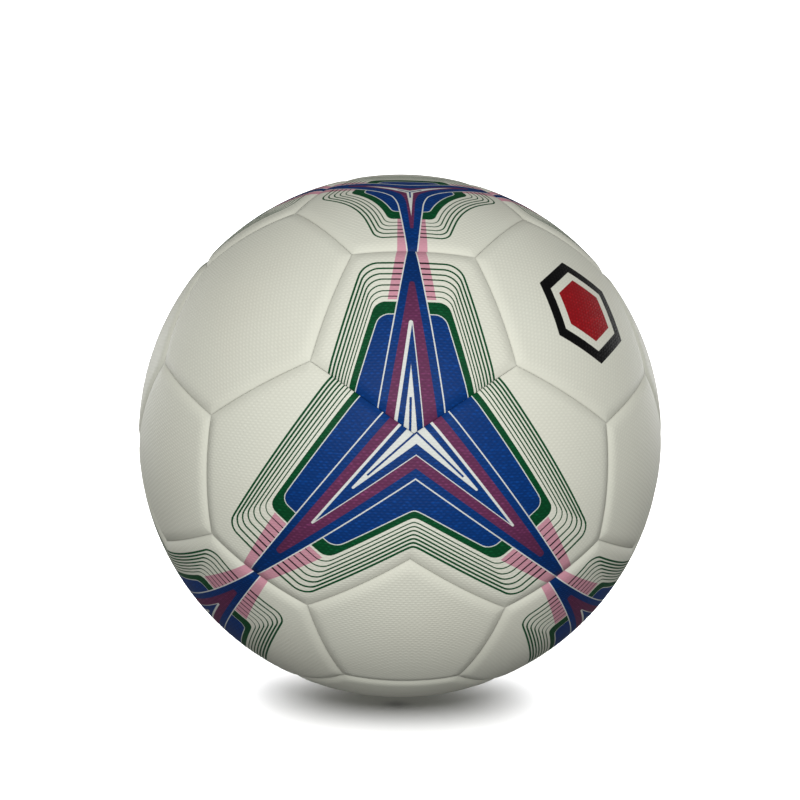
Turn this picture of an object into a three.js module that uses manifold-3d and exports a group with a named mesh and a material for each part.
// A size 5 soccer ball: 26 cover panels bonded to a carcass, with a bladder and its valve inside.
// Millimetres, +Z up, origin at the ball's centre. The ball's mirror plane is X = 0, and -Y is its front.
import * as THREE from 'three';
import { mergeVertices } from 'three/addons/utils/BufferGeometryUtils.js';
import Module from 'manifold-3d';

// Driving dimensions
const BALL_RADIUS = 110;
const PANEL_THICKNESS = 4;
const SEAM_GAP = 0.4; // between the side walls of two neighbouring panels
const GROOVE_WIDTH = 4.4; // the soft valley along each seam, measured across both panels
const GROOVE_DEPTH = 1.3;
const SHOULDER_DROP = 0.25; // the share of that depth already lost halfway into the groove
const CARCASS_RADIUS = 105.3;
const CARCASS_THICKNESS = 1.3;
const BLADDER_RADIUS = 103.5;
const BLADDER_THICKNESS = 1.2;
const FRONT_STAR_ELEVATION = 5; // degrees that the front star's centre stands above the equator
const VALVE_HOLE_RADIUS = 5.2; // through the panel, the carcass and the bladder
const VALVE_RADIUS = 4.9;
const VALVE_RECESS = 0.6; // the valve's flat face lies this far inside the ball's round surface
const VALVE_LENGTH = 22;
const VALVE_HOLE_REACH = 14; // how far the hole's cutter goes in and out of the ball's surface
const FLANGE_RADIUS = 13;
const FLANGE_GAP = 0.8; // between the flange and the bladder's inside
const FLANGE_ROOT_THICKNESS = 2.4; // where it meets the valve's stem
const FLANGE_RIM_THICKNESS = 0.7;
const CORE_RADIUS = 2.5;
const CORE_LENGTH = 16;
const CORE_GAP = 0.3; // around the core, and between its face and the valve's
const NEEDLE_HOLE_RADIUS = 0.8;

// How finely the round shapes are divided
const EDGE_STEPS = 4; // along each edge of a panel's pentagons and hexagons
const SHELL_DETAIL = 6; // of the icosahedron that carcass and bladder are divided from
const TURNED_STEPS = 32; // around the valve

const SAME_DIRECTION = 1e-6; // two unit vectors closer than this are one
const SAME_POINT = 1e-3; // so are two corners of a solid closer than this

const GOLDEN = (1 + Math.sqrt(5)) / 2;

const wasm = await Module();
wasm.setup();

// Directions from the ball's centre
// ---------------------------------

// Every cyclic shift of (x, y, z) with every choice of signs, as unit vectors with no two alike
function signedShifts(x, y, z) {
  const found = [];
  for (const shift of [[x, y, z], [z, x, y], [y, z, x]]) {
    for (let signs = 0; signs < 8; signs += 1) {
      const flipped = shift.map((value, axis) => (signs & (1 << axis) ? -value : value));
      const direction = new THREE.Vector3(...flipped).normalize();
      if (!found.some((other) => other.distanceTo(direction) < SAME_DIRECTION)) {
        found.push(direction);
      }
    }
  }
  return found;
}

// A truncated icosahedron's corners, and the middles of its pentagons and hexagons
const seamCorners = [
  ...signedShifts(0, 1, 3 * GOLDEN),
  ...signedShifts(2, 1 + 2 * GOLDEN, GOLDEN),
  ...signedShifts(1, 2 + GOLDEN, 2 * GOLDEN),
];
const pentagonCentres = signedShifts(0, 1, GOLDEN);
const hexagonCentres = [...signedShifts(1, 1, 1), ...signedShifts(0, GOLDEN, 1 / GOLDEN)];

const byDistanceFrom = (point) => (a, b) => a.distanceTo(point) - b.distanceTo(point);
const nearest = (points, point, count) => [...points].sort(byDistanceFrom(point)).slice(0, count);

// Stands the ball up, and returns the upper star's direction. That star's axis goes through a hexagon, and the
// front star is printed round the corner of the pentagon before it that is furthest from that hexagon.
function standUp() {
  const upperStar = hexagonCentres.find((centre) => Math.abs(centre.x) < SAME_DIRECTION);
  const frontPentagon = nearest(pentagonCentres, upperStar, 1)[0];
  const frontStar = nearest(seamCorners, frontPentagon, 5).sort(byDistanceFrom(upperStar)).at(-1);
  const right = new THREE.Vector3().crossVectors(upperStar, frontPentagon).normalize();
  const rear = new THREE.Vector3().crossVectors(upperStar, right);
  const upright = new THREE.Matrix4().makeBasis(right, rear, upperStar).transpose();
  const lean = Math.PI / 2 - upperStar.angleTo(frontStar) - THREE.MathUtils.degToRad(FRONT_STAR_ELEVATION);
  const standing = new THREE.Matrix4().makeRotationX(lean).multiply(upright);
  for (const point of [...seamCorners, ...pentagonCentres, ...hexagonCentres]) {
    point.applyMatrix4(standing);
  }
  return upperStar;
}

const upperStar = standUp();
const lowerStar = upperStar.clone().negate();
// The hexagons next to a star hexagon are plain, and the valve is in the lowest of them
const plainHexagons = [upperStar, lowerStar].flatMap((star) => nearest(hexagonCentres, star, 4).slice(1));
const valveAxis = plainHexagons.reduce((lowest, centre) => (centre.z < lowest.z ? centre : lowest));

// Panels
// ------

// A face's corners in order, counter-clockwise as seen from outside
function cornerLoop(centre, count) {
  const corners = nearest(seamCorners, centre, count);
  const start = corners[0].clone().projectOnPlane(centre).normalize();
  const side = new THREE.Vector3().crossVectors(centre, start);
  const turn = (corner) => Math.atan2(corner.dot(side), corner.dot(start));
  return corners.sort((a, b) => turn(a) - turn(b));
}

const makeFace = (centre, count) => ({ centre, corners: cornerLoop(centre, count) });

// The outline of one face, or of two faces that share an edge, each corner with its neighbours before and after it
function outlineOf(faces) {
  const edges = faces.flatMap(({ corners }) => (
    corners.map((corner, index) => [corner, corners[(index + 1) % corners.length]])
  ));
  const isSeam = ([from, to]) => !edges.some(([start, end]) => start === to && end === from);
  const seams = edges.filter(isSeam);
  const loop = [seams[0]];
  while (loop.length < seams.length) {
    loop.push(seams.find(([from]) => from === loop.at(-1)[1]));
  }
  return loop.map(([corner, after], index) => ({ before: loop.at(index - 1)[0], corner, after }));
}

// Moves a corner inwards until it is the given distance, in millimetres, from both of its seams
function insetCorner({ before, corner, after }, distance) {
  const incoming = new THREE.Vector3().crossVectors(before, corner).normalize();
  const outgoing = new THREE.Vector3().crossVectors(corner, after).normalize();
  const share = Math.sin(distance / BALL_RADIUS) / (1 + incoming.dot(outgoing));
  const inwards = incoming.add(outgoing).multiplyScalar(share);
  return inwards.addScaledVector(corner, Math.sqrt(1 - inwards.lengthSq()));
}

// A panel's section from its crowned face, over the groove's round shoulder, down the side wall to its back
const PANEL_LEVELS = [
  { inset: GROOVE_WIDTH / 2, radius: BALL_RADIUS },
  { inset: GROOVE_WIDTH / 4, radius: BALL_RADIUS - GROOVE_DEPTH * SHOULDER_DROP },
  { inset: SEAM_GAP / 2, radius: BALL_RADIUS - GROOVE_DEPTH },
  { inset: SEAM_GAP / 2, radius: BALL_RADIUS - PANEL_THICKNESS },
];

// The points from one direction to the next, on the sphere, with the last one left to the next edge
function edgePoints(from, to) {
  return Array.from({ length: EDGE_STEPS }, (_, step) => (
    from.clone().lerp(to, step / EDGE_STEPS).normalize()
  ));
}

// Triangles over one face of a panel: a fan from its centre to each edge, divided into rows
function addCrown(triangles, face, insetOf, radius, facesOut) {
  const point = (left, right, row, step) => {
    const along = row === 0 ? left : left.clone().lerp(right, step / row);
    return face.centre.clone().lerp(along, row / EDGE_STEPS).normalize().multiplyScalar(radius);
  };
  face.corners.forEach((corner, index) => {
    const left = insetOf.get(corner);
    const right = insetOf.get(face.corners[(index + 1) % face.corners.length]);
    for (let row = 0; row < EDGE_STEPS; row += 1) {
      for (let step = 0; step <= row; step += 1) {
        const inner = point(left, right, row, step);
        const outerLeft = point(left, right, row + 1, step);
        const outerRight = point(left, right, row + 1, step + 1);
        addTriangle(triangles, inner, outerLeft, outerRight, facesOut);
        if (step < row) {
          addTriangle(triangles, inner, outerRight, point(left, right, row, step + 1), facesOut);
        }
      }
    }
  });
}

function addTriangle(triangles, a, b, c, facesOut = true) {
  triangles.push(...(facesOut ? [a, b, c] : [a, c, b]));
}

// Quads between two loops of the same length, the first one higher up the panel's side
function addSide(triangles, upper, lower) {
  upper.forEach((from, index) => {
    const next = (index + 1) % upper.length;
    addTriangle(triangles, from, lower[index], lower[next]);
    addTriangle(triangles, from, lower[next], upper[next]);
  });
}

function panelGeometry(faces) {
  const outline = outlineOf(faces);
  const triangles = [];
  const insets = PANEL_LEVELS.map(({ inset }) => (
    new Map(outline.map((seamCorner) => [seamCorner.corner, insetCorner(seamCorner, inset)]))
  ));
  const loops = PANEL_LEVELS.map(({ radius }, level) => outline.flatMap(({ corner, after }) => (
    edgePoints(insets[level].get(corner), insets[level].get(after)).map((point) => point.multiplyScalar(radius))
  )));
  for (const face of faces) {
    addCrown(triangles, face, insets[0], BALL_RADIUS, true);
    addCrown(triangles, face, insets.at(-1), BALL_RADIUS - PANEL_THICKNESS, false);
  }
  for (let level = 1; level < loops.length; level += 1) {
    addSide(triangles, loops[level - 1], loops[level]);
  }
  return new THREE.BufferGeometry().setFromPoints(triangles);
}

// Cutting and turning
// -------------------

function solidOf(geometry) {
  const bare = geometry.clone();
  bare.deleteAttribute('normal');
  bare.deleteAttribute('uv');
  const merged = mergeVertices(bare, SAME_POINT);
  const vertProperties = Float32Array.from(merged.attributes.position.array);
  const triVerts = Uint32Array.from(merged.index.array);
  return new wasm.Manifold(new wasm.Mesh({ numProp: 3, vertProperties, triVerts }));
}

function geometryOf(solid) {
  const { vertProperties, triVerts } = solid.getMesh();
  const geometry = new THREE.BufferGeometry();
  geometry.setAttribute('position', new THREE.BufferAttribute(Float32Array.from(vertProperties), 3));
  geometry.setIndex(new THREE.BufferAttribute(Uint32Array.from(triVerts), 1));
  return geometry;
}

// Turns a shape made along +Y so that it lies along the valve's axis, which points out of the ball
const alongValve = (geometry) => (
  geometry.applyQuaternion(new THREE.Quaternion().setFromUnitVectors(new THREE.Vector3(0, 1, 0), valveAxis))
);

// The valve's hole, longer than everything that it goes through
function valveHole() {
  const length = 2 * VALVE_HOLE_REACH;
  const hole = new THREE.CylinderGeometry(VALVE_HOLE_RADIUS, VALVE_HOLE_RADIUS, length, TURNED_STEPS);
  return alongValve(hole.translate(0, BALL_RADIUS, 0));
}

const withValveHole = (geometry) => geometryOf(solidOf(geometry).subtract(solidOf(valveHole())));

function shellGeometry(radius, thickness) {
  const outside = solidOf(new THREE.IcosahedronGeometry(radius, SHELL_DETAIL));
  const inside = solidOf(new THREE.IcosahedronGeometry(radius - thickness, SHELL_DETAIL));
  return withValveHole(geometryOf(outside.subtract(inside)));
}

function turned(profile) {
  return alongValve(new THREE.LatheGeometry(profile.map(([x, y]) => new THREE.Vector2(x, y)), TURNED_STEPS));
}

// A rubber stem with a pocket for the core, and a flange that follows the bladder's round inside
function valveBodyGeometry() {
  const face = BALL_RADIUS - VALVE_RECESS;
  const flangeOuter = BLADDER_RADIUS - BLADDER_THICKNESS - FLANGE_GAP;
  const flangeMiddle = (FLANGE_RADIUS + VALVE_RADIUS) / 2;
  const onFlange = (distance, radius) => [distance, Math.sqrt(radius ** 2 - distance ** 2)];
  const pocketRadius = CORE_RADIUS + CORE_GAP;
  const floor = face - CORE_LENGTH - 2 * CORE_GAP;
  return turned([
    [NEEDLE_HOLE_RADIUS, face - VALVE_LENGTH],
    [VALVE_RADIUS, face - VALVE_LENGTH],
    onFlange(VALVE_RADIUS, flangeOuter - FLANGE_ROOT_THICKNESS),
    onFlange(FLANGE_RADIUS, flangeOuter - FLANGE_RIM_THICKNESS),
    onFlange(FLANGE_RADIUS, flangeOuter),
    onFlange(flangeMiddle, flangeOuter),
    onFlange(VALVE_RADIUS, flangeOuter),
    [VALVE_RADIUS, face],
    [pocketRadius, face],
    [pocketRadius, floor],
    [NEEDLE_HOLE_RADIUS, floor],
    [NEEDLE_HOLE_RADIUS, face - VALVE_LENGTH],
  ]);
}

// A soft plug with the inflating needle's hole, countersunk at its outer end
function valveCoreGeometry() {
  const face = BALL_RADIUS - VALVE_RECESS - CORE_GAP;
  const sink = NEEDLE_HOLE_RADIUS;
  return turned([
    [NEEDLE_HOLE_RADIUS, face - CORE_LENGTH],
    [CORE_RADIUS, face - CORE_LENGTH],
    [CORE_RADIUS, face],
    [NEEDLE_HOLE_RADIUS + sink, face],
    [NEEDLE_HOLE_RADIUS, face - sink],
    [NEEDLE_HOLE_RADIUS, face - CORE_LENGTH],
  ]);
}

// Materials
// ---------

const ivory = () => new THREE.MeshStandardMaterial({ color: 0xdcdcd0, roughness: 0.55, metalness: 0 });
const printedBlue = () => new THREE.MeshStandardMaterial({ color: 0x1c4182, roughness: 0.55, metalness: 0 });
const wovenCloth = () => new THREE.MeshStandardMaterial({ color: 0xc9c2a8, roughness: 0.9, metalness: 0 });
const blackRubber = () => new THREE.MeshStandardMaterial({ color: 0x1d1d1e, roughness: 0.7, metalness: 0 });
const greyRubber = () => new THREE.MeshStandardMaterial({ color: 0x8d8f8c, roughness: 0.65, metalness: 0 });

// The ball
// --------

const ball = new THREE.Group();

function addPiece(name, geometry, material) {
  const mesh = new THREE.Mesh(geometry, material);
  mesh.name = name;
  ball.add(mesh);
}

// Which way a direction points from the ball's middle. Those in the mirror plane point to the front or rear.
function sideOf({ x, y }) {
  if (Math.abs(x) < SAME_DIRECTION) {
    return y < 0 ? 'front' : 'rear';
  }
  return x < 0 ? 'left' : 'right';
}

// Half of the cover: a star hexagon, then three star pentagons with a twin panel beyond each of them,
// and three plain hexagons and three plain pentagons between those
function addHalf(half, star) {
  const pentagons = nearest(pentagonCentres, star, 6);
  addPiece(`star_hexagon_${half}`, panelGeometry([makeFace(star, 6)]), printedBlue());
  for (const pentagon of pentagons.slice(0, 3)) {
    const hexagonsAround = nearest(hexagonCentres, pentagon, 5).sort(byDistanceFrom(star));
    const twins = hexagonsAround.slice(3).map((centre) => makeFace(centre, 6));
    const side = sideOf(pentagon);
    addPiece(`star_pentagon_${half}_${side}`, panelGeometry([makeFace(pentagon, 5)]), printedBlue());
    addPiece(`twin_panel_${half}_${side}`, panelGeometry(twins), printedBlue());
  }
  for (const pentagon of pentagons.slice(3)) {
    addPiece(`plain_pentagon_${half}_${sideOf(pentagon)}`, panelGeometry([makeFace(pentagon, 5)]), ivory());
  }
  for (const hexagon of nearest(plainHexagons, star, 3)) {
    const panel = panelGeometry([makeFace(hexagon, 6)]);
    if (hexagon === valveAxis) {
      addPiece('valve_hexagon', withValveHole(panel), ivory());
    } else {
      addPiece(`plain_hexagon_${half}_${sideOf(hexagon)}`, panel, ivory());
    }
  }
}

addHalf('upper', upperStar);
addHalf('lower', lowerStar);
addPiece('carcass', shellGeometry(CARCASS_RADIUS, CARCASS_THICKNESS), wovenCloth());
addPiece('bladder', shellGeometry(BLADDER_RADIUS, BLADDER_THICKNESS), blackRubber());
addPiece('valve_body', valveBodyGeometry(), greyRubber());
addPiece('valve_core', valveCoreGeometry(), blackRubber());

export default ball;
